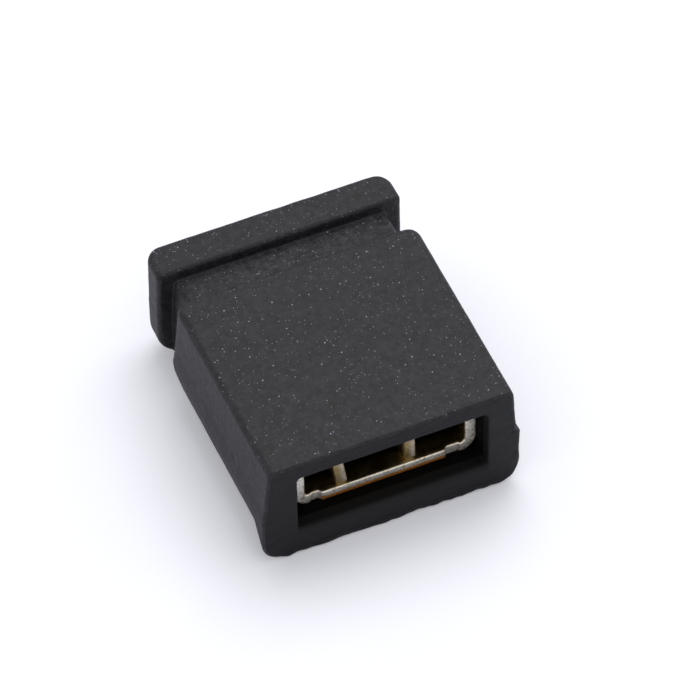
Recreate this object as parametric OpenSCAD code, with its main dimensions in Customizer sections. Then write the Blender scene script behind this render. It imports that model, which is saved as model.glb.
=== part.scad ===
// Jumper shunt for two square header pins: a moulded insulator with a
// grip flange at its closed end, and one stamped and folded contact that
// sits in the cavity and joins the two pins.
// The shunt lies on its broad face. X runs across the pins, Y runs along
// them from the open end (-Y) to the grip flange (+Y), and Z is up.

/* [Housing] */
// Width of the body's lower mould half
housing_w = 5.08; // [4.9:0.02:5.5]
// Length from the open rim to the back of the flange
housing_len = 5.84; // [5.6:0.02:8.5]
// Thickness between the two broad faces
housing_t = 2.48; // [2.4:0.02:2.7]
// Height of the parting line above the lower face
parting_z = 1.33; // [1.1:0.01:1.6]
// Step in from the lower mould half to the upper one, on each side
parting_step = 0.065; // [0.02:0.005:0.1]
// Draft of the upper half's sides, in degrees
draft = 3; // [1:0.5:5]
// Radius of the long upper edges
top_edge_r = 0.09; // [0.04:0.01:0.2]
// Radius of the long lower edges
bottom_edge_r = 0.36; // [0.1:0.02:0.45]
// Radius round the open rim's outer edge
rim_edge_r = 0.05; // [0.02:0.01:0.1]
// Radius of the shoulders behind the body, seen from above
shoulder_r = 0.3; // [0.15:0.05:0.5]
// Radius of the body's lower back edge, seen from the side
heel_r = 0.26; // [0.1:0.02:0.4]

/* [Grip] */
// Width of the flange
flange_w = 4.9; // [4.7:0.02:5.2]
// Length of the flange along the pins
flange_len = 0.73; // [0.6:0.01:1.2]
// Length of the finger groove in front of the flange
groove_len = 0.72; // [0.5:0.02:1.0]
// Depth of the groove in the two broad faces
groove_depth = 0.31; // [0.15:0.01:0.4]
// Depth of the groove in the flange's two narrow sides
side_groove_depth = 0.24; // [0.1:0.01:0.4]
// Radius of the groove's long edges
groove_edge_r = 0.12; // [0.04:0.02:0.2]
// Fillet where the groove's floor meets its end walls
groove_fillet_r = 0.08; // [0.04:0.01:0.14]
// Height of the flange's underside above the lower face
flange_lift = 0.12; // [0.04:0.02:0.2]
// Radius of the flange's upper corners
flange_top_r = 0.12; // [0.06:0.02:0.2]
// Radius of the flange's lower corners
flange_bottom_r = 0.36; // [0.15:0.01:0.45]
// Radius of the flange's back corners, seen from above
flange_back_r = 0.34; // [0.15:0.01:0.42]
// Radius of the flange's lower front and back edges, seen from the side
flange_under_r = 0.24; // [0.1:0.01:0.32]

/* [Cavity] */
// Wall under the contact
floor_wall = 0.62; // [0.45:0.01:0.7]
// Wall over the contact
roof_wall = 0.4; // [0.3:0.01:0.5]
// Wall between the cavity and the back of the body
back_wall = 0.36; // [0.25:0.01:0.6]
// Radius along the cavity's four inner corners
cavity_corner_r = 0.12; // [0.05:0.01:0.2]
// Rounding of the lip under the opening
lip_r = 0.13; // [0.05:0.01:0.25]
// Chamfer round the sides and top of the opening
mouth_chamfer = 0.04; // [0.02:0.01:0.1]

/* [Pins] */
// Distance between the two header pins
pin_pitch = 2.54; // [2.5:0.01:2.6]
// Side of a square header pin
pin_side = 0.64; // [0.6:0.01:0.66]
// Clearance between a pin and the leg beside it
pin_leg_gap = 0.01; // [0.01:0.01:0.08]

/* [Contact] */
// Thickness of the contact strip
strip_t = 0.24; // [0.2:0.01:0.3]
// Gap for a pin between a leg and its spring beam
beam_gap = 0.75; // [0.68:0.01:0.8]
// Gap left for a pin at the pressed bump
pinch_gap = 0.58; // [0.5:0.01:0.62]
// Length of the pressed bump along the pin
bump_len = 0.9; // [0.6:0.05:1.2]
// Distance from the beam's front edge to the bump's middle
bump_at = 1.5; // [1.1:0.05:1.8]
// Inside radius where the legs turn up from the web
leg_bend_r = 0.1; // [0.05:0.01:0.2]
// Clearance between a spring beam's lower edge and the web
beam_web_gap = 0.05; // [0.03:0.01:0.1]
// Clearance between the contact and each side of the cavity
contact_side_gap = 0.04; // [0.03:0.01:0.1]
// Clearance between the contact's arches and the cavity's roof
contact_roof_gap = 0.06; // [0.03:0.01:0.15]
// Distance from the open rim to the web's front edge
contact_recess = 0.46; // [0.3:0.01:0.7]
// Clearance behind the contact
contact_back_gap = 0.08; // [0.04:0.01:0.2]
// Width of the web's front tab, where the carrier was cut off
tab_w = 2.5; // [2.3:0.02:2.6]
// How far the tab stands ahead of the legs
tab_reach = 0.05; // [0.03:0.01:0.12]
// Width of the bend relief beside the tab
relief_w = 0.1; // [0.06:0.01:0.16]
// Depth of the bend relief behind the legs' front edges
relief_depth = 0.1; // [0.05:0.01:0.2]
// Length of the locking lance on each leg
lance_len = 0.5; // [0.3:0.05:0.8]
// Distance from the contact's back edge to the lance's catching edge
lance_back = 0.55; // [0.4:0.05:0.9]
// Height of the locking lance
lance_h = 0.36; // [0.2:0.02:0.5]

/* [Hidden] */
$fn = 48;
eps = 0.01;

// the rim lies at rim_y, the flange's back at -rim_y
rim_y = -housing_len / 2;
body_len = housing_len - flange_len - groove_len;
neck_w = flange_w - 2 * side_groove_depth;
// half widths of the body's upper half, at the parting line and on top
upper_x = housing_w / 2 - parting_step;
top_x = upper_x - (housing_t - parting_z) * tan(draft);

// contact, across the pins
leg_in_x = (pin_pitch + pin_side) / 2 + pin_leg_gap;
leg_out_x = leg_in_x + strip_t;
beam_out_x = leg_in_x - beam_gap;
arch_x = leg_in_x - beam_gap / 2;
// contact, in height
cavity_h = housing_t - floor_wall - roof_wall;
contact_h = cavity_h - contact_roof_gap;
arch_z = contact_h - strip_t - beam_gap / 2;
beam_z = strip_t + beam_web_gap;
// contact, along the pins
cavity_w = 2 * (leg_out_x + contact_side_gap);
cavity_depth = body_len - back_wall;
contact_len = cavity_depth - contact_recess - contact_back_gap;

// what a corner of radius r takes off, with the corner at the origin
module corner(r) {
    difference() {
        translate([-eps, -eps]) square(r + eps);
        translate([r, r]) circle(r);
    }
}

// a rectangle with a radius for each corner, counted from the lower left
// one against the clock
module rounded(x0, x1, y0, y1, r) {
    difference() {
        translate([x0, y0]) square([x1 - x0, y1 - y0]);
        translate([x0, y0]) corner(r[0]);
        translate([x1, y0]) mirror([1, 0]) corner(r[1]);
        translate([x1, y1]) mirror([1, 0]) mirror([0, 1]) corner(r[2]);
        translate([x0, y1]) mirror([0, 1]) corner(r[3]);
    }
}

// a profile in X and Z, run along Y from y0 to y1
module along(y0, y1) {
    translate([0, y1, 0]) rotate([90, 0, 0]) linear_extrude(y1 - y0) children();
}

// a profile in X and Y, run up from z0 to z1
module up(z0, z1) {
    translate([0, 0, z0]) linear_extrude(z1 - z0) children();
}

// a profile in Y and Z, run across the whole width
module across() {
    translate([-housing_w, 0, 0]) rotate([90, 0, 90]) linear_extrude(2 * housing_w) children();
}

// the upper mould half's profile: drafted sides and rounded upper edges
module upper_profile() {
    centre_x = top_x - top_edge_r * tan((90 - draft) / 2);
    centre_z = housing_t - top_edge_r;
    side = [centre_x + top_edge_r * cos(draft), centre_z + top_edge_r * sin(draft)];
    polygon([
        [-upper_x, parting_z], [upper_x, parting_z], side, [centre_x, housing_t],
        [-centre_x, housing_t], [-side[0], side[1]]
    ]);
    for (s = [-1, 1]) translate([s * centre_x, centre_z]) circle(top_edge_r);
}

module body() {
    y1 = rim_y + body_len;
    intersection() {
        union() {
            intersection() {
                along(rim_y, y1) upper_profile();
                up(0, housing_t + 1)
                    rounded(-upper_x, upper_x, rim_y, y1, [rim_edge_r, rim_edge_r, shoulder_r, shoulder_r]);
            }
            intersection() {
                along(rim_y, y1) rounded(-housing_w / 2, housing_w / 2, 0, parting_z,
                    [bottom_edge_r, bottom_edge_r, eps, eps]);
                up(-1, housing_t)
                    rounded(-housing_w / 2, housing_w / 2, rim_y, y1, [rim_edge_r, rim_edge_r, shoulder_r, shoulder_r]);
            }
        }
        across() rounded(rim_y, y1, 0, housing_t, [rim_edge_r, heel_r, top_edge_r, rim_edge_r]);
    }
}

module neck() {
    y0 = rim_y + body_len;
    along(y0 - eps, y0 + groove_len + eps)
        rounded(-neck_w / 2, neck_w / 2, groove_depth, housing_t - groove_depth,
            [groove_edge_r, groove_edge_r, groove_edge_r, groove_edge_r]);
    // fillets along the groove's floors, at the body and at the flange
    w = neck_w - 2 * groove_edge_r;
    r = groove_fillet_r;
    for (over = [0, 1], back = [0, 1])
        translate([0, y0 + groove_len / 2, housing_t / 2]) mirror([0, back, 0]) mirror([0, 0, over])
            translate([-w / 2, -groove_len / 2, groove_depth - housing_t / 2]) difference() {
                translate([0, -eps, -r]) cube([w, r + eps, r + eps]);
                translate([-1, r, -r]) rotate([0, 90, 0]) cylinder(h = w + 2, r = r);
            }
}

module flange() {
    y0 = -rim_y - flange_len;
    intersection() {
        along(y0, -rim_y) rounded(-flange_w / 2, flange_w / 2, flange_lift, housing_t,
            [flange_bottom_r, flange_bottom_r, flange_top_r, flange_top_r]);
        up(-1, housing_t + 1) rounded(-flange_w / 2, flange_w / 2, y0, -rim_y,
            [rim_edge_r, rim_edge_r, flange_back_r, flange_back_r]);
        across() rounded(y0, -rim_y, flange_lift, housing_t,
            [flange_under_r, flange_under_r, flange_top_r, rim_edge_r]);
    }
}

// the cavity with its square mouth, open at the rim
module cavity() {
    z1 = housing_t - roof_wall;
    along(rim_y - 1, rim_y + cavity_depth)
        rounded(-cavity_w / 2, cavity_w / 2, floor_wall, z1,
            [cavity_corner_r, cavity_corner_r, cavity_corner_r, cavity_corner_r]);
    // rounded lower lip
    difference() {
        translate([-cavity_w / 2, rim_y - eps, floor_wall - lip_r])
            cube([cavity_w, lip_r + eps, lip_r + cavity_corner_r]);
        translate([-cavity_w, rim_y + lip_r, floor_wall - lip_r])
            rotate([0, 90, 0]) cylinder(h = 2 * cavity_w, r = lip_r);
    }
    // chamfers at the top and at both sides
    c = mouth_chamfer * sqrt(2);
    translate([-cavity_w / 2, rim_y, z1]) rotate([45, 0, 0])
        translate([0, -c / 2, -c / 2]) cube([cavity_w, c, c]);
    for (s = [-1, 1])
        translate([s * cavity_w / 2, rim_y, floor_wall]) rotate([0, 0, 45])
            translate([-c / 2, -c / 2, 0]) cube([c, c, cavity_h]);
}

module housing() {
    color("#3b3b40") difference() {
        union() {
            body();
            neck();
            flange();
        }
        cavity();
    }
}

// a quarter or half ring of the strip, between radii r and r + strip_t
module bend(r) {
    difference() {
        circle(r + strip_t);
        circle(r);
    }
}

// the strip seen from the open end: web, leg, arch and spring beam
module strip_outline() {
    corner_x = leg_in_x - leg_bend_r;
    corner_z = strip_t + leg_bend_r;
    translate([-corner_x, 0]) square([2 * corner_x, strip_t]);
    for (s = [0, 1]) mirror([s, 0]) {
        intersection() {
            translate([corner_x, corner_z]) bend(leg_bend_r);
            translate([corner_x, 0]) square([leg_out_x, corner_z]);
        }
        translate([leg_in_x, corner_z]) square([strip_t, arch_z - corner_z]);
        intersection() {
            translate([arch_x, arch_z]) bend(beam_gap / 2);
            translate([beam_out_x - strip_t, arch_z]) square([beam_gap + 2 * strip_t, contact_h]);
        }
        translate([beam_out_x - strip_t, beam_z]) square([strip_t, arch_z - beam_z]);
    }
}

// the bump pressed out of a spring beam toward its pin
module bump(y_front) {
    p = beam_gap - pinch_gap;
    r = (bump_len * bump_len / 4 + p * p) / (2 * p);
    intersection() {
        translate([beam_out_x + p - r, y_front + bump_at, beam_z]) cylinder(h = arch_z - beam_z, r = r, $fn = 96);
        translate([beam_out_x - eps, y_front + bump_at - bump_len / 2, beam_z])
            cube([p + eps, bump_len, arch_z - beam_z]);
    }
}

// the lance that locks a leg against the cavity's side wall
module lance(y_back) {
    translate([leg_out_x, y_back - lance_back, (arch_z + strip_t - lance_h) / 2])
        linear_extrude(lance_h)
            polygon([[-eps, -lance_len], [0, -lance_len], [contact_side_gap, 0], [-eps, 0]]);
}

module contact() {
    y_tab = rim_y + contact_recess;
    y_leg = y_tab + tab_reach;
    y_back = y_tab + contact_len;
    color("#cfa048") translate([0, 0, floor_wall]) {
        difference() {
            along(y_leg, y_back) strip_outline();
            for (s = [-1, 1])
                translate([s * (tab_w + relief_w) / 2 - relief_w / 2, y_leg - 1, -1])
                    cube([relief_w, 1 + relief_depth, strip_t + 1 + eps]);
        }
        translate([-tab_w / 2, y_tab, 0]) cube([tab_w, tab_reach + eps, strip_t]);
        for (s = [0, 1]) mirror([s, 0, 0]) {
            bump(y_leg);
            lance(y_back);
        }
    }
}

housing();
contact();
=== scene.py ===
import math

import bpy
import numpy as np
from mathutils import Matrix


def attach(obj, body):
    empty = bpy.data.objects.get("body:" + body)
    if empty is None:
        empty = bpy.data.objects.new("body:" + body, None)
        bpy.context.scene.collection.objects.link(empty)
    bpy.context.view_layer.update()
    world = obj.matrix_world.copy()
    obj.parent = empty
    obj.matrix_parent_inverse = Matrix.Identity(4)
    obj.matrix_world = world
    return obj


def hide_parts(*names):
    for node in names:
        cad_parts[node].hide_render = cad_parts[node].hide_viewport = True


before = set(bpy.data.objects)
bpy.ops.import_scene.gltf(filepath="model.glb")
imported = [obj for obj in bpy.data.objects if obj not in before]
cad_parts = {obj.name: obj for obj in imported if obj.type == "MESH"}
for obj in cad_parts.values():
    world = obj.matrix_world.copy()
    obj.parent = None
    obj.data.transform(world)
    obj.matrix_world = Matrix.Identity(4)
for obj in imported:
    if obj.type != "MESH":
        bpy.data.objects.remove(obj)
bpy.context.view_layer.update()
mm = 0.001  # every size below is in mm
quarterTurn = math.pi / 2
print("frame loaded:", ", ".join(sorted(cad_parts)))


def lumps(points, size, seed):
    # smooth random field in -1..1: a random lattice of the given cell size, blended between its
    # eight corners with the weights t * t * (3 - 2 * t)
    lattice = np.random.RandomState(seed).uniform(-1, 1, (32, 32, 32))
    q = points / size + 500.0
    low = np.floor(q).astype(int)
    t = q - low
    t = t * t * (3 - 2 * t)
    total = 0
    for corner in np.ndindex(2, 2, 2):
        index = (low + corner) % 32
        weight = np.prod(np.where(np.array(corner) == 1, t, 1 - t), axis=-1)
        total = total + weight * lattice[index[..., 0], index[..., 1], index[..., 2]]
    return total


def shave(d, r):
    # what a round edge of radius r takes off at a distance d past its start: r - sqrt(r * r - d * d)
    d = np.clip(d, 0, r)
    return r - np.sqrt(np.maximum(r * r - d * d, 0))


def smooth(x, low, high):
    # 0 below low, 1 above high, and a soft step between
    t = np.clip((x - low) / (high - low), 0, 1)
    return t * t * (3 - 2 * t)


def gridFaces(rows, columns):
    # quads of a tube of rows rings, closed round its columns
    i, j = np.meshgrid(np.arange(rows - 1), np.arange(columns), indexing="ij")
    k = (j + 1) % columns
    quads = np.stack([i * columns + j, i * columns + k, (i + 1) * columns + k, (i + 1) * columns + j], -1)
    return quads.reshape(-1, 4)


def closedTube(name, rings, endA, endB, materials, marks, finishRows=()):
    # a tube of rings closed by a fan at each end; marks are numbers carried by the points, and
    # finishRows gives the material's number for every ring, with the first fan as its first ring
    rows, columns = rings.shape[:2]
    points = np.vstack([rings.reshape(-1, 3), endA, endB]) * mm
    quads = gridFaces(rows, columns)
    around = np.arange(columns)
    after = (around + 1) % columns
    last = (rows - 1) * columns
    fanA = np.stack([np.full(columns, rows * columns), after, around], -1)
    fanB = np.stack([np.full(columns, rows * columns + 1), last + around, last + after], -1)
    fans = np.vstack([fanA, fanB])
    mesh = bpy.data.meshes.new(name)
    mesh.from_pydata(points.tolist(), [], quads.tolist() + fans.tolist())
    mesh.polygons.foreach_set("use_smooth", np.ones(len(mesh.polygons), bool))
    if len(finishRows):
        fanRows = np.repeat([finishRows[0], finishRows[-1]], columns)
        finishes = np.append(np.repeat(finishRows[:-1], columns), fanRows).astype(np.int32)
        mesh.polygons.foreach_set("material_index", finishes)
    for key, values in marks.items():
        carried = np.append(values.ravel(), [values[0].mean(), values[-1].mean()]).astype(np.float32)
        mesh.attributes.new(key, "FLOAT", "POINT").data.foreach_set("value", carried)
    for material in materials:
        mesh.materials.append(material)
    mesh.update()
    piece = bpy.data.objects.new(name, mesh)
    bpy.context.scene.collection.objects.link(piece)
    return piece


class Wire:
    # one socket of a material; the operators add Math nodes
    def __init__(self, tree, socket=None):
        self.tree, self.socket = tree, socket

    def node(self, kind, settings=None, sockets=None, out=0):
        # kind is the node's type; settings are set first, then the values or links of its sockets
        made = self.tree.nodes.new(kind)
        for key, value in (settings or {}).items():
            setattr(made, key, value)
        for key, value in (sockets or {}).items():
            if isinstance(value, Wire):
                self.tree.links.new(value.socket, made.inputs[key])
            else:
                made.inputs[key].default_value = value
        return Wire(self.tree, made.outputs[out])

    def sums(self, operation, *values):
        return self.node("ShaderNodeMath", {"operation": operation}, dict(enumerate(values)))

    def __add__(self, other):
        return self.sums("ADD", self, other)

    def __radd__(self, other):
        return self.sums("ADD", other, self)

    def __sub__(self, other):
        return self.sums("SUBTRACT", self, other)

    def __rsub__(self, other):
        return self.sums("SUBTRACT", other, self)

    def __mul__(self, other):
        return self.sums("MULTIPLY", self, other)

    def __rmul__(self, other):
        return self.sums("MULTIPLY", other, self)

    def __gt__(self, other):
        return self.sums("GREATER_THAN", self, other)

    def step(self, low, high):
        # a soft step of this value between low and high
        return self.node("ShaderNodeMapRange", {"interpolation_type": "SMOOTHSTEP"},
                         {"Value": self, "From Min": low, "From Max": high})

    def blend(self, a, b):
        # colour a where this value is 0, colour b where it is 1
        return self.node("ShaderNodeMix", {"data_type": "RGBA"}, {0: self, 6: a, 7: b}, 2)

    def noise(self, scale, detail, rough):
        sockets = {"Vector": self, "Scale": scale, "Detail": detail, "Roughness": rough}
        return self.node("ShaderNodeTexNoise", {}, sockets)

    def mark(self, name):
        # a number that the mesh carries on its points
        return self.node("ShaderNodeAttribute", {"attribute_name": name}, out=2)

    def bump(self, depth):
        # this value as a relief of the given depth
        return self.node("ShaderNodeBump", {}, {"Strength": 1.0, "Distance": depth * mm, "Height": self})


def newMaterial(name):
    # a material with a Principled shader: gives the material, a first wire, the shader, the place in mm
    material = bpy.data.materials.new(name)
    material.use_nodes = True
    tree = material.node_tree
    wire = Wire(tree)
    place = wire.node("ShaderNodeTexCoord", out=3)
    place = wire.node("ShaderNodeVectorMath", {"operation": "SCALE"}, {0: place, "Scale": 1 / mm})
    return material, wire, tree.nodes["Principled BSDF"], place


def plug(shader, links):
    for key, wire in links.items():
        wire.tree.links.new(wire.socket, shader.inputs[key])


plasticLook = {
    "dark": (0.003, 0.003, 0.004, 1), "pale": (0.021, 0.020, 0.026, 1),
    "paintedGrooveLight": (0.038, 0.037, 0.045, 1), "paintedGlint": (0.52, 0.53, 0.66, 1), "paintedWarmGlint": (0.36, 0.31, 0.31, 1),
    "faceDark": (0.0055, 0.0055, 0.0075, 1), "deepShade": (0.001, 0.001, 0.001, 1),
    # noises: scale, detail, roughness
    "coarse": (9.0, 3.0, 0.65), "fine": (26.0, 2.0, 0.6), "mottle": (5.5, 5.0, 0.75), "face": (14.0, 3.0, 0.6),
    "toneShares": (0.35, 0.4, 0.25), "toneRange": (0.38, 0.64), "reliefShares": (0.6, 0.4),
    # two layers of painted glints: scale, reach, and the least pick that shows
    "paintedGlints": ((16.0, 0.24, 0.87), (27.0, 0.26, 0.83)),
    "glintCore": 0.4, "glintOnSides": 0.3, "warmRange": (0.72, 0.8),
    "rough": 0.55, "roughSpread": 0.2, "gloss": 0.30, "relief": 0.02,
    "faceRough": 0.5, "deepRough": 0.3, "faceSpread": 0.15, "faceGloss": 0.2, "cavityGloss": 0.06,
    "faceRelief": 0.006,
}


def grainedPlastic(look):
    # the spark-eroded outside of the moulding
    material, wire, shader, place = newMaterial("grainedPlastic")
    coarse, fine, mottle = (place.noise(*look[key]) for key in ("coarse", "fine", "mottle"))
    paintedGrooveLight, upward = wire.mark("paintedGrooveLight"), wire.mark("upward")
    shares = look["toneShares"]
    tone = (coarse * shares[0] + mottle * shares[1] + fine * shares[2]).step(*look["toneRange"])
    # painted light: where the groove's floor faces up, the tone runs to a lighter colour
    colour = paintedGrooveLight.blend(tone.blend(look["dark"], look["pale"]), tone.blend(look["dark"], look["paintedGrooveLight"]))
    # painted glints, where the middle of a cell lies in the skin; more of them on faces that look up, where the
    # light falls
    for scale, size, least in look["paintedGlints"]:
        cell = {"Vector": place, "Scale": scale}
        reach = wire.node("ShaderNodeTexVoronoi", {}, cell)
        pick = wire.node("ShaderNodeTexVoronoi", {}, cell, 1)
        red, green = (wire.node("ShaderNodeSeparateColor", {}, {0: pick}, k) for k in (0, 1))
        facing = look["glintOnSides"] + (1 - look["glintOnSides"]) * upward
        paintedGlint = reach.step(size, size * look["glintCore"]) * red.step(least, 1.0) * facing
        colour = paintedGlint.blend(colour, green.step(*look["warmRange"]).blend(look["paintedGlint"], look["paintedWarmGlint"]))
    relief = coarse * look["reliefShares"][0] + fine * look["reliefShares"][1]
    shader.inputs["Specular IOR Level"].default_value = look["gloss"]
    plug(shader, {"Base Color": colour, "Roughness": look["rough"] + (fine - 0.5) * look["roughSpread"],
                  "Normal": relief.bump(look["relief"])})
    return material


def smoothPlastic(look, name, gloss):
    # the smoother rim face, and the cavity, whose colour runs to a painted shade inwards
    material, wire, shader, place = newMaterial(name)
    deepShade = wire.mark("deepShade")
    fine = place.noise(*look["face"])
    rough = look["faceRough"] + deepShade * look["deepRough"] + (fine - 0.5) * look["faceSpread"]
    shader.inputs["Specular IOR Level"].default_value = gloss
    # painted shade: the base colour darkens to near black further into the cavity
    plug(shader, {"Base Color": deepShade.blend(look["faceDark"], look["deepShade"]), "Roughness": rough,
                  "Normal": fine.bump(look["faceRelief"])})
    return material


metalLook = {
    "gold": (0.36, 0.24, 0.08, 1), "paleGold": (0.50, 0.38, 0.18, 1), "unlit": (0.10, 0.06, 0.02, 1),
    "shearedAndHighlight": (0.96, 0.94, 0.86, 1), "shearedDark": (0.58, 0.50, 0.36, 1), "copper": (0.80, 0.34, 0.07, 1),
    "grain": (16.0, 3.0, 0.6), "patch": (3.0, 3.0, 0.6),  # noises: scale, detail, roughness
    "paleRange": (0.4, 0.62), "brightRange": (0.34, 0.52),
    "rough": 0.26, "patchRough": 0.12, "shearedRough": 0.16, "relief": 0.006, "leastRelief": 0.25,
}


def platedMetal(look):
    # gold-plated strip: silvery where it was cut, that colour also standing for a painted highlight on the cut
    # edges, copper where it is bare, and dark far into the cavity
    material, wire, shader, place = newMaterial("platedMetal")
    shearedAndHighlight, bare, inner = (wire.mark(name) for name in ("shearedAndHighlight", "bare", "inner"))
    grain, patch = place.noise(*look["grain"]), place.noise(*look["patch"])
    colour = inner.blend(patch.step(*look["paleRange"]).blend(look["gold"], look["paleGold"]), look["unlit"])
    # the cut edge's grain, in a colour that also paints the highlight on the edge
    cutEdgeAndHighlight = grain.step(*look["brightRange"]).blend(look["shearedDark"], look["shearedAndHighlight"])
    colour = bare.blend(shearedAndHighlight.blend(colour, cutEdgeAndHighlight), look["copper"])
    relief = grain * (look["leastRelief"] + shearedAndHighlight)
    shader.inputs["Metallic"].default_value = 1.0
    plug(shader, {"Base Color": colour, "Normal": relief.bump(look["relief"]),
                  "Roughness": look["rough"] + patch * look["patchRough"] + shearedAndHighlight * look["shearedRough"]})
    return material


plastic = [
    grainedPlastic(plasticLook),
    smoothPlastic(plasticLook, "smoothPlastic", plasticLook["faceGloss"]),
    smoothPlastic(plasticLook, "cavityPlastic", plasticLook["cavityGloss"]),
]
metal = [platedMetal(metalLook)]
print("finishes made")


housing = {
    "rim": -2.92, "bodyBack": 1.47, "neckBack": 2.19, "back": 2.92,  # places along Y
    "top": 2.48, "parting": 1.33, "stepRise": 0.045, "softRise": 0.27,
    # half widths at the top, at the parting line and low down
    "body": (2.412, 2.475, 2.54), "neck": (2.12, 2.15, 2.17), "flange": (2.435, 2.445, 2.45),
    # the lower edges' radius grows from lowR at the rim to keelR at keelRun behind it
    "topR": 0.14, "lowR": 0.46, "keelR": 1.0, "keelStart": 0.02, "keelRun": 0.5, "keelEase": 0.5,
    "leastR": 0.1, "rimR": 0.05, "shoulderR": 0.24, "heelR": 0.62, "heelStop": 0.02, "backTopR": 0.1,
    "groove": 0.27, "grooveStart": 0.20, "neckR": 0.12, "filletR": 0.05,
    # shares of the fillet at the groove's sides, below, and on top at its front end
    "sideFillet": 0.35, "lowFillet": 0.8, "frontFillet": 0.4,
    "flangeLift": 0.24, "flangeTopR": 0.12, "flangeLowR": 0.5, "flangeBackR": 0.34, "flangeUnderR": 0.24,
    "flangeFrontR": 0.09,
    "mouthX": (-1.84, 1.90), "mouthLow": 0.62, "mouthTop": 2.08, "mouthR": 0.1,
    "lipR": 0.13, "chamfer": 0.04, "cavityBack": 1.11,
    "points": (44, 10, 14, 8),  # in half a ring: flat, arc, side, ledge
    # where the finishes change: the painted shade in the cavity behind the rim, what faces up, the painted
    # light on the groove's floor
    "deepShadeRange": (-0.01, 0.11), "upRange": (0.3, 0.8), "grooveLightRange": (-0.02, 0.1), "grooveLightEnd": 0.03,
    # uneven moulding: height, size and seed of the lumps, and how far each kind reaches
    "skin": ((0.004, 0.32, 1), (0.002, 0.11, 2)), "rimLumps": (0.010, 0.13, 3), "rimReach": 0.07,
    "flash": (0.016, 0.17, 4), "flashOut": 0.008, "flashTop": 0.3, "flashFade": 0.2,
    "ledgeLumps": (0.012, 0.2, 5), "ledgeReach": 0.06, "ledgeFrom": 2.3,
}


def ringWeights(flat, arc, side, ledge, rise):
    # Half a ring, from the middle of the top down the +X side to the middle of the bottom. A point is
    # x = A . p, z = B . p with p = (xTop, xPart, xLow, zTop, zPart, zLow, rTop, rLow, 1):
    # lines between the ends of two quarter circles, and a soft ledge at the parting line.
    one = np.ones
    rows = []

    def add(n, x, z):
        table = np.zeros((n, 2, 9))
        for k, value in x.items():
            table[:, 0, k] = value
        for k, value in z.items():
            table[:, 1, k] = value
        rows.append(table)

    t = np.linspace(0, 1, flat)
    add(flat, {0: t, 6: -t}, {3: one(flat)})
    a = np.linspace(0, quarterTurn, arc + 1)[1:]
    add(arc, {0: one(arc), 6: np.sin(a) - 1}, {3: one(arc), 6: np.cos(a) - 1})
    t = np.linspace(0, 1, side + 1)[1:]
    add(side, {0: 1 - t, 1: t}, {3: 1 - t, 6: t - 1, 4: t, 8: rise * t})
    t = np.linspace(0, 1, ledge + 1)[1:]
    s = t * t * (3 - 2 * t)
    add(ledge, {1: 1 - s, 2: s}, {4: one(ledge), 8: rise * (1 - 2 * t)})
    t = np.linspace(0, 1, side + 1)[1:]
    add(side, {2: one(side)}, {4: 1 - t, 8: -rise * (1 - t), 5: t, 7: t})
    a = np.linspace(0, quarterTurn, arc + 1)[1:]
    add(arc, {2: one(arc), 7: np.cos(a) - 1}, {5: one(arc), 7: 1 - np.sin(a)})
    t = np.linspace(0, 1, flat)[1:]
    add(flat - 1, {2: 1 - t, 7: t - 1}, {5: one(flat - 1)})
    table = np.vstack(rows)
    # how much of the lower lip's radius a point takes: 1 under the opening, 0 at its sides and top
    low = np.concatenate([np.zeros(flat + arc + 2 * side + ledge), np.sin(a), one(flat - 1)])
    return table, low


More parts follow.
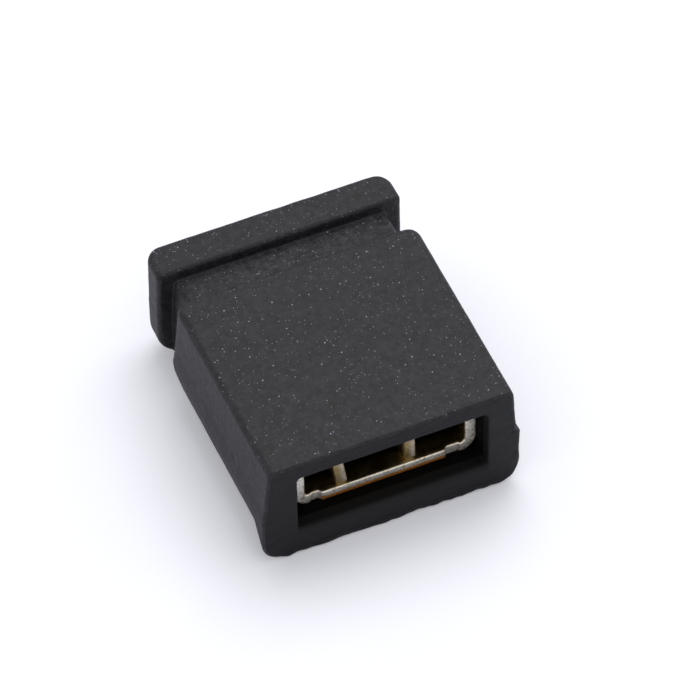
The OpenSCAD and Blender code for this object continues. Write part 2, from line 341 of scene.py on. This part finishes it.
def moulding(c, materials):
    # the +X side has a sharp ledge at the parting line, the -X side a soft one
    half, lowHalf = ringWeights(*c["points"], c["stepRise"])
    soft = ringWeights(*c["points"], c["softRise"])[0]
    mirror = soft[-2:0:-1].copy()
    mirror[:, 0, :] *= -1
    weights = np.vstack([half, mirror])
    lowLip = np.concatenate([lowHalf, lowHalf[-2:0:-1]])

    def rings(y, x, z, rTop, rLow):
        # x = (top, parting, low) half widths, z = (top, parting, low)
        y = np.atleast_1d(np.asarray(y, float))
        full = [np.broadcast_to(v, y.shape) for v in (*x, *z, rTop, rLow, 1.0)]
        flatRing = np.einsum("mkp,pn->nmk", weights, np.array(full))
        across, up = np.moveaxis(flatRing, -1, 0)
        return np.stack([across, np.broadcast_to(y[:, None], across.shape), up], -1)

    made = []

    def between(a, b, steps):
        # rings blended from a to b, without either
        t = np.linspace(0, 1, steps + 2)[1:-1, None, None]
        return a * (1 - t) + b * t

    bodyX, neckX, flangeX = (np.array(c[k])[:, None] for k in ("body", "neck", "flange"))
    top, part = c["top"], c["parting"]
    f = c["filletR"]
    lipTurn = np.linspace(0, quarterTurn, 9)

    # cavity: its back, its walls and the lip round the mouth,
    # y = rim + r * (1 - sin b), outwards r * (1 - cos b)
    mouthHalf = (c["mouthX"][1] - c["mouthX"][0]) / 2
    mouthMid = (c["mouthX"][1] + c["mouthX"][0]) / 2
    lipRadius = c["chamfer"] + (c["lipR"] - c["chamfer"]) * lowLip

    def mouthRing(grow, growLow):
        z = (c["mouthTop"] + grow, part, c["mouthLow"] - growLow)
        ring = rings(0.0, [mouthHalf + grow] * 3, z, c["mouthR"] + grow, c["mouthR"] + grow)[0]
        ring[:, 0] += mouthMid
        return ring

    walls = mouthRing(0.0, 0.0)
    centre = np.array([mouthMid, c["cavityBack"], (c["mouthTop"] + c["mouthLow"]) / 2])
    backRing = walls.copy()
    backRing[:, 1] = c["cavityBack"]
    scale = np.linspace(0.12, 1, 7)[:, None, None]
    made.append(centre + (backRing - centre) * scale)
    lipStart = walls.copy()
    lipStart[:, 1] = c["rim"] + lipRadius
    made.append(between(backRing, lipStart, 24))
    for b in lipTurn:
        ring = mouthRing(c["chamfer"] * (1 - math.cos(b)), c["lipR"] * (1 - math.cos(b)))
        ring[:, 1] = c["rim"] + lipRadius * (1 - math.sin(b))
        made.append(ring[None])
    mouth = made[-1][-1]
    faceFrom = sum(len(group) for group in made) - len(lipTurn) - 1

    # front face, then the rim's round edge
    def bodyRings(y, taken):
        back = c["bodyBack"]
        side = taken + shave(y - (back - c["shoulderR"]), c["shoulderR"])
        low = taken + np.minimum(shave(y - (back - c["heelR"]), c["heelR"]), c["groove"] - c["heelStop"])
        high = taken + shave(y - (back - c["backTopR"]), c["backTopR"])
        z = (top - high, np.full_like(y, part), low)
        rounder = smooth(y, c["rim"] + c["keelStart"], c["rim"] + c["keelRun"])
        keel = c["lowR"] + (c["keelR"] - c["lowR"]) * rounder
        return rings(y, bodyX - side, z, c["topR"], np.maximum(keel - c["keelEase"] * low, c["leastR"]))

    outer = bodyRings(np.array([c["rim"]]), np.array([c["rimR"]]))[0]
    made.append(between(mouth[None], outer[None], 12))
    outerFrom = sum(len(group) for group in made)
    a = np.linspace(0, quarterTurn, 8)
    made.append(bodyRings(c["rim"] + c["rimR"] * (1 - np.cos(a)), c["rimR"] * (1 - np.sin(a))))
    y = np.linspace(c["rim"] + c["rimR"], c["bodyBack"] - c["shoulderR"], 58)[1:]
    made.append(bodyRings(y, np.zeros_like(y)))
    a = np.linspace(0, quarterTurn, 13)[1:]
    y = c["bodyBack"] - c["shoulderR"] * (1 - np.sin(a))
    y = np.sort(np.append(y, c["bodyBack"] - c["backTopR"] * (1 - np.sin(a[2:-1:2]))))
    made.append(bodyRings(y, np.zeros_like(y)))

    # neck: fillets at both ends, y = end - f * (1 - sin b), outwards f * (1 - cos b)
    def neckRings(y, out):
        # the groove's upper floor falls evenly towards the flange
        along = np.clip((y - c["bodyBack"]) / (c["neckBack"] - c["bodyBack"]), 0, 1)
        fall = c["grooveStart"] + (c["groove"] - c["grooveStart"]) * along
        topOut = np.where(y < c["bodyBack"] + f, c["frontFillet"], 1.0) * out
        z = (top - fall + topOut, np.full_like(y, part), c["groove"] - out * c["lowFillet"])
        return rings(y, neckX + out * c["sideFillet"], z, c["neckR"], c["neckR"])

    b = np.linspace(0, quarterTurn, 6)
    made.append(between(made[-1][-1:], neckRings(np.array([c["bodyBack"]]), np.array([f])), 4))
    made.append(neckRings(c["bodyBack"] + f * (1 - np.cos(b)), f * (1 - np.sin(b))))
    y = np.linspace(c["bodyBack"] + f, c["neckBack"] - f, 14)[1:]
    made.append(neckRings(y, np.zeros_like(y)))
    b = b[1:]
    made.append(neckRings(c["neckBack"] - f * (1 - np.sin(b)), f * (1 - np.cos(b))))

    # flange: rounded in plan at its back corners, and from the side at its lower edges
    def flangeRings(y, taken):
        front, back = c["neckBack"], c["back"]
        side = taken + shave(y - (back - c["flangeBackR"]), c["flangeBackR"])
        under = c["flangeUnderR"]
        low = c["flangeLift"] + shave(front + under - y, under) + shave(y - (back - under), under)
        low = np.minimum(low, np.where(y < front + under, c["groove"] - c["lowFillet"] * f, np.inf))
        high = taken + shave(y - (back - c["flangeTopR"]), c["flangeTopR"])
        z = (top - high, np.full_like(y, part), low)
        return rings(y, flangeX - side, z, c["flangeTopR"], c["flangeLowR"])

    a = np.linspace(0, quarterTurn, 7)
    r = c["flangeFrontR"]
    first = flangeRings(c["neckBack"] + r * (1 - np.cos(a)), r * (1 - np.sin(a)))
    made.append(between(made[-1][-1:], first[:1], 5))
    made.append(first)
    y = np.linspace(c["neckBack"] + r, c["back"] - c["flangeBackR"], 14)[1:]
    made.append(flangeRings(y, np.zeros_like(y)))
    a = np.linspace(0, quarterTurn, 15)[1:]
    y = c["back"] - c["flangeBackR"] * (1 - np.sin(a))
    made.append(flangeRings(y, np.zeros_like(y)))
    last = made[-1][-1]
    lastCentre = np.array([0, c["back"], (last[:, 2].max() + last[:, 2].min()) / 2])
    scale = np.linspace(0.93, 0.06, 12)[:, None, None]
    made.append(lastCentre + (last - lastCentre) * scale)

    surface = np.concatenate(made)
    row = np.arange(len(surface))
    x, y, z = np.moveaxis(surface, -1, 0)
    # painted shade, growing from the rim into the cavity
    deepShade = smooth(y, *(c["rim"] + np.array(c["deepShadeRange"]))) * (row < outerFrom)[:, None]
    finishRows = np.where(row < faceFrom, 2, np.where(row < outerFrom, 1, 0))

    # uneven moulding: each point moves along its normal, more round the rim and along its lower edge;
    # a ring on the body's top tells which way the normals point
    across = np.roll(surface, -1, 1) - np.roll(surface, 1, 1)
    normal = np.cross(across, np.gradient(surface, axis=0))
    normal /= np.maximum(np.linalg.norm(normal, axis=-1, keepdims=True), 1e-9)
    normal *= np.sign(normal[outerFrom + 30, 0, 2])
    upward = smooth(normal[..., 2], *c["upRange"])
    # painted light on the groove's floor: its faces that look up, behind the body and short of the flange
    behindBody = smooth(y, *(c["bodyBack"] + np.array(c["grooveLightRange"])))
    paintedGrooveLight = upward * behindBody * (y < c["neckBack"] - c["grooveLightEnd"])
    outside = (row >= outerFrom - 3)[:, None]
    nearRim = outside * np.exp(-((y - c["rim"]) / c["rimReach"]) ** 2)
    lowEdge = nearRim * smooth(c["flashTop"] - z, 0, c["flashFade"])
    ledge = outside * np.exp(-((z - part) / c["ledgeReach"]) ** 2) * (np.abs(x) > c["ledgeFrom"])

    def uneven(height, size, seed):
        return height * lumps(surface, size, seed)

    shift = uneven(*c["skin"][0]) + uneven(*c["skin"][1]) + nearRim * uneven(*c["rimLumps"])
    shift = shift + lowEdge * (uneven(*c["flash"]) + c["flashOut"]) + ledge * uneven(*c["ledgeLumps"])
    surface = surface + normal * shift[..., None]
    surface[..., 2] = np.maximum(surface[..., 2], 0.0)
    marks = {"deepShade": deepShade, "upward": upward, "paintedGrooveLight": paintedGrooveLight}
    return closedTube("housingShell", surface, centre, lastCentre, materials, marks, finishRows)


shell = moulding(housing, plastic)
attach(shell, "root")
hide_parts("housing")
print("housing:", len(shell.data.polygons), "faces")


contact = {
    "webLow": 0.63, "thick": 0.24, "legL": -1.62, "legR": 1.785, "beamL": -0.80, "beamR": 0.56,
    "archTop": 2.03, "archRise": 0.42, "bendR": 0.1, "beamLow": 0.92, "lean": 0.04, "rightLean": 0.3,
    "front": -2.46, "tabReach": 0.04, "length": 3.49, "tab": (-1.20, 1.27), "tabBlur": 0.015,
    "relief": 0.03, "cutBlur": (0.02, 0.03), "webShare": 0.8, "edgeR": 0.028,
    "bumpAt": 1.5, "bumpLength": 0.9, "bump": 0.15, "bumpFade": 0.12,
    "points": (16, 24, 10, 90),  # along a beam or leg, an arch, a bend, the web
    # the finish: share and rise of the painted highlight on the beams' front edge, fading light inwards, the
    # painted highlight fading round the edge's corner, copper low on the tab
    "beamHighlight": (0.05, 0.45), "beamHighlightRange": (-0.04, 0.06), "innerRange": (0.15, 0.5),
    "highlightFade": (0.8, 0.2), "copperShare": 0.55, "copperBlur": 0.04,
}


def strip(c, materials):
    # The strip's middle line in X and Z: beam, half-ellipse arch, leg, bend, web, and the same again.
    # x = xm + a * cos u, z = z0 + rise * sin u over an arch; straight runs between.
    half = c["thick"] / 2
    archZ = c["archTop"] - half - c["archRise"]
    webZ = c["webLow"] + half
    bend = c["bendR"] + half

    def line(x0, z0, x1, z1, n):
        t = np.linspace(0, 1, n, endpoint=False)
        return np.stack([x0 + (x1 - x0) * t, z0 + (z1 - z0) * t], -1)

    def arch(x0, x1, n):
        u = np.linspace(0, math.pi, n, endpoint=False)
        return np.stack([(x0 + x1) / 2 + (x0 - x1) / 2 * np.cos(u), archZ + c["archRise"] * np.sin(u)], -1)

    def corner(x, z, start, n):
        u = start + np.linspace(0, quarterTurn, n, endpoint=False)
        return np.stack([x + bend * np.cos(u), z + bend * np.sin(u)], -1)

    lean = c["lean"]
    straight, curve, fold, web = c["points"]
    legTop, legLow = archZ, webZ + bend
    path = np.vstack([
        line(c["beamL"] + lean, c["beamLow"], c["beamL"] - lean, archZ, straight),
        arch(c["beamL"] - lean, c["legL"], curve),
        line(c["legL"], legTop, c["legL"], legLow, straight),
        corner(c["legL"] + bend, legLow, math.pi, fold),
        line(c["legL"] + bend, webZ, c["legR"] - bend, webZ, web),
        corner(c["legR"] - bend, legLow, 1.5 * math.pi, fold),
        line(c["legR"], legLow, c["legR"], legTop, straight),
        arch(c["legR"], c["beamR"], curve),
        line(c["beamR"], archZ, c["beamR"] + lean * c["rightLean"], c["beamLow"], straight),
    ])
    tangent = np.gradient(path, axis=0)
    tangent /= np.linalg.norm(tangent, axis=1)[:, None]
    normal = np.stack([-tangent[:, 1], tangent[:, 0]], -1)
    x, z = path[:, 0], path[:, 1]
    count = len(path)

    # front edge: the web's tab stands ahead, with a relief cut beside it at each end
    blur, (cutOut, cutIn) = c["tabBlur"], c["cutBlur"]
    tabL, tabR = c["tab"]
    onWeb = z < c["webLow"] + c["thick"] * c["webShare"]
    inTab = smooth(x, tabL - blur, tabL + blur) * (1 - smooth(x, tabR - blur, tabR + blur)) * onWeb
    bendL, bendR = c["legL"] + bend, c["legR"] - bend
    flat = smooth(x, bendL - cutOut, bendL + cutIn) * (1 - smooth(x, bendR - cutIn, bendR + cutOut))
    relief = onWeb * flat * (1 - inTab)
    near = (c["front"] + c["tabReach"] * (1 - inTab) + c["relief"] * relief)[:, None]
    far = c["front"] + c["length"]

    # section of the strip, counted from its front edge: that edge and its corner, the outer face to the
    # back, the back edge, the inner face to the front; depth = e * (1 - cos b) round a corner
    e = c["edgeR"]
    edge = np.linspace(-1, 1, 9)
    run = np.linspace(0, 1, 46)[1:-1]
    b = np.linspace(0, quarterTurn, 5)[1:]
    rim = np.concatenate([edge * (half - e), half - e + e * np.sin(b)])
    depth = np.concatenate([np.zeros(len(edge)), e * (1 - np.cos(b))])
    within = (far - near - 2 * e) * run
    offsets = np.concatenate([rim, np.full(len(run), half), -rim, np.full(len(run), -half)])
    farEdge = np.broadcast_to(far - depth, (count, len(rim)))
    alongs = np.hstack([near + depth, near + e + within, farEdge, far - e - within])

    # bump pressed towards the pin on each beam: a hill of height 1 - t * t
    station = np.arange(count)
    isBeam = (station < straight) | (station >= count - straight)
    fade = smooth(archZ - z, 0.0, c["bumpFade"]) * isBeam
    middle = c["front"] + c["tabReach"] + c["bumpAt"]
    hill = np.clip(1 - ((alongs - middle) / (c["bumpLength"] / 2)) ** 2, 0, 1)
    towards = np.where(station < count / 2, -1.0, 1.0)[:, None]
    px = x[:, None] + normal[:, 0:1] * offsets + towards * c["bump"] * hill * fade[:, None]
    pz = z[:, None] + normal[:, 1:2] * offsets
    rings = np.stack([px, alongs, pz], -1)

    # the front edge is cut bright, with a painted highlight, on web and legs; on beams and arches it stays
    # mostly gold, with a painted highlight rising towards +X
    left, right = (c["beamL"] + c["legL"]) / 2, (c["beamR"] + c["legR"]) / 2
    onBeam = ((x > left) & (x < right) & (z > c["webLow"] + c["thick"]))[:, None]
    beamHighlight = c["beamHighlight"][0] + c["beamHighlight"][1] * smooth(px - x[:, None], *c["beamHighlightRange"])
    bright = np.where(onBeam, beamHighlight, 1.0)
    flatEdge, wholeEdge = len(edge), len(rim)
    shearedAndHighlight = np.zeros_like(px)
    shearedAndHighlight[:, :flatEdge] = bright[:, :flatEdge]
    # painted highlight fading as the edge turns round its corner
    fading = np.linspace(*c["highlightFade"], wholeEdge - flatEdge)
    shearedAndHighlight[:, flatEdge:wholeEdge] = bright[:, flatEdge:wholeEdge] * fading
    inner = smooth(alongs, *(c["front"] + np.array(c["innerRange"])))
    low = np.clip((c["webLow"] + c["thick"] * c["copperShare"] - pz) / c["copperBlur"], 0, 1)
    bare = np.zeros_like(px)
    bare[:, :flatEdge + 2] = (inTab[:, None] * low)[:, :flatEdge + 2]
    marks = {"shearedAndHighlight": shearedAndHighlight, "bare": bare, "inner": inner}
    return closedTube("contactStrip", rings, rings[0].mean(0), rings[-1].mean(0), materials, marks)


spring = strip(contact, metal)
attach(spring, "root")
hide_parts("contact")
print("contact:", len(spring.data.polygons), "faces")


studio = {
    "floor": (0.91, 0.92, 0.995, 1), "glow": 0.13, "drop": 0.02, "reach": 0.6, "sky": 0.74,
    "boxSize": 0.05, "boxHeight": 0.06, "boxAt": (0.018, 0.022), "boxPower": 0.016,
}


def paleFloor(s):
    material, wire, shader, _ = newMaterial("paleFloor")
    shader.inputs["Base Color"].default_value = s["floor"]
    shader.inputs["Roughness"].default_value = 0.9
    shader.inputs["Specular IOR Level"].default_value = 0.0
    shader.inputs["Emission Strength"].default_value = s["glow"]
    seen = wire.node("ShaderNodeLightPath")  # seen by the camera, the floor is white paper
    plug(shader, {"Emission Color": seen.blend((0, 0, 0, 1), (1, 1, 1, 1))})
    mesh = bpy.data.meshes.new("floor")
    r = s["reach"]
    z = -s["drop"] * mm
    mesh.from_pydata([(-r, -r, z), (r, -r, z), (r, r, z), (-r, r, z)], [], [(0, 1, 2, 3)])
    mesh.materials.append(material)
    floor = bpy.data.objects.new("floor", mesh)
    bpy.context.scene.collection.objects.link(floor)


def softWorld(s):
    world = bpy.data.worlds.new("softWorld")
    bpy.context.scene.world = world
    world.use_nodes = True
    tree = world.node_tree
    wire = Wire(tree)
    path = wire.node("ShaderNodeLightPath")
    rays = ("Is Camera Ray", "Is Glossy Ray", "Is Transmission Ray")
    direct, glossy, through = (Wire(tree, path.socket.node.outputs[ray]) for ray in rays)
    seen = direct + glossy + through  # the lighting sees a greyer sky than the camera does
    strength = s["sky"] + (1 - s["sky"]) * (seen > 0.5)
    background = tree.nodes["Background"]
    background.inputs["Color"].default_value = (1, 1, 1, 1)
    tree.links.new(strength.socket, background.inputs["Strength"])


def softBox(s):
    lamp = bpy.data.lights.new("softBox", "AREA")
    lamp.shape, lamp.size, lamp.energy = "DISK", s["boxSize"], s["boxPower"]
    box = bpy.data.objects.new("softBox", lamp)
    box.location = (*s["boxAt"], s["boxHeight"])
    aim = -np.array(box.location)
    box.rotation_euler = (math.acos(-aim[2] / np.linalg.norm(aim)), 0, math.atan2(aim[1], aim[0]) - math.pi / 2)
    bpy.context.scene.collection.objects.link(box)


shot = {"azimuth": -22.879, "elevation": 49.886, "roll": -0.785, "distance": 121.04, "lens": 340.3,
        "aim": (0.0, -0.12, 1.2), "offset": (-0.357, -0.362)}


def camera(s):
    # back = (sin a cos e, -cos a cos e, sin e); the roll turns right and up about it
    a, e, r = (math.radians(s[k]) for k in ("azimuth", "elevation", "roll"))
    back = np.array([math.sin(a) * math.cos(e), -math.cos(a) * math.cos(e), math.sin(e)])
    right = np.array([math.cos(a), math.sin(a), 0.0])
    up = np.cross(back, right)
    right, up = math.cos(r) * right + math.sin(r) * up, math.cos(r) * up - math.sin(r) * right
    place = np.array(s["aim"]) + back * s["distance"] - s["offset"][0] * right - s["offset"][1] * up
    data = bpy.data.cameras.new("camera")
    data.lens, data.sensor_width, data.clip_start, data.clip_end = s["lens"], 36, 0.001, 10
    eye = bpy.data.objects.new("camera", data)
    matrix = np.eye(4)
    matrix[:3, 0], matrix[:3, 1], matrix[:3, 2], matrix[:3, 3] = right, up, back, place * mm
    eye.matrix_world = Matrix(matrix.tolist())
    bpy.context.scene.collection.objects.link(eye)
    bpy.context.scene.camera = eye


paleFloor(studio)
softWorld(studio)
softBox(studio)
camera(shot)
bpy.context.scene.view_settings.view_transform = "Standard"
print("studio ready")

bpy.context.view_layer.update()
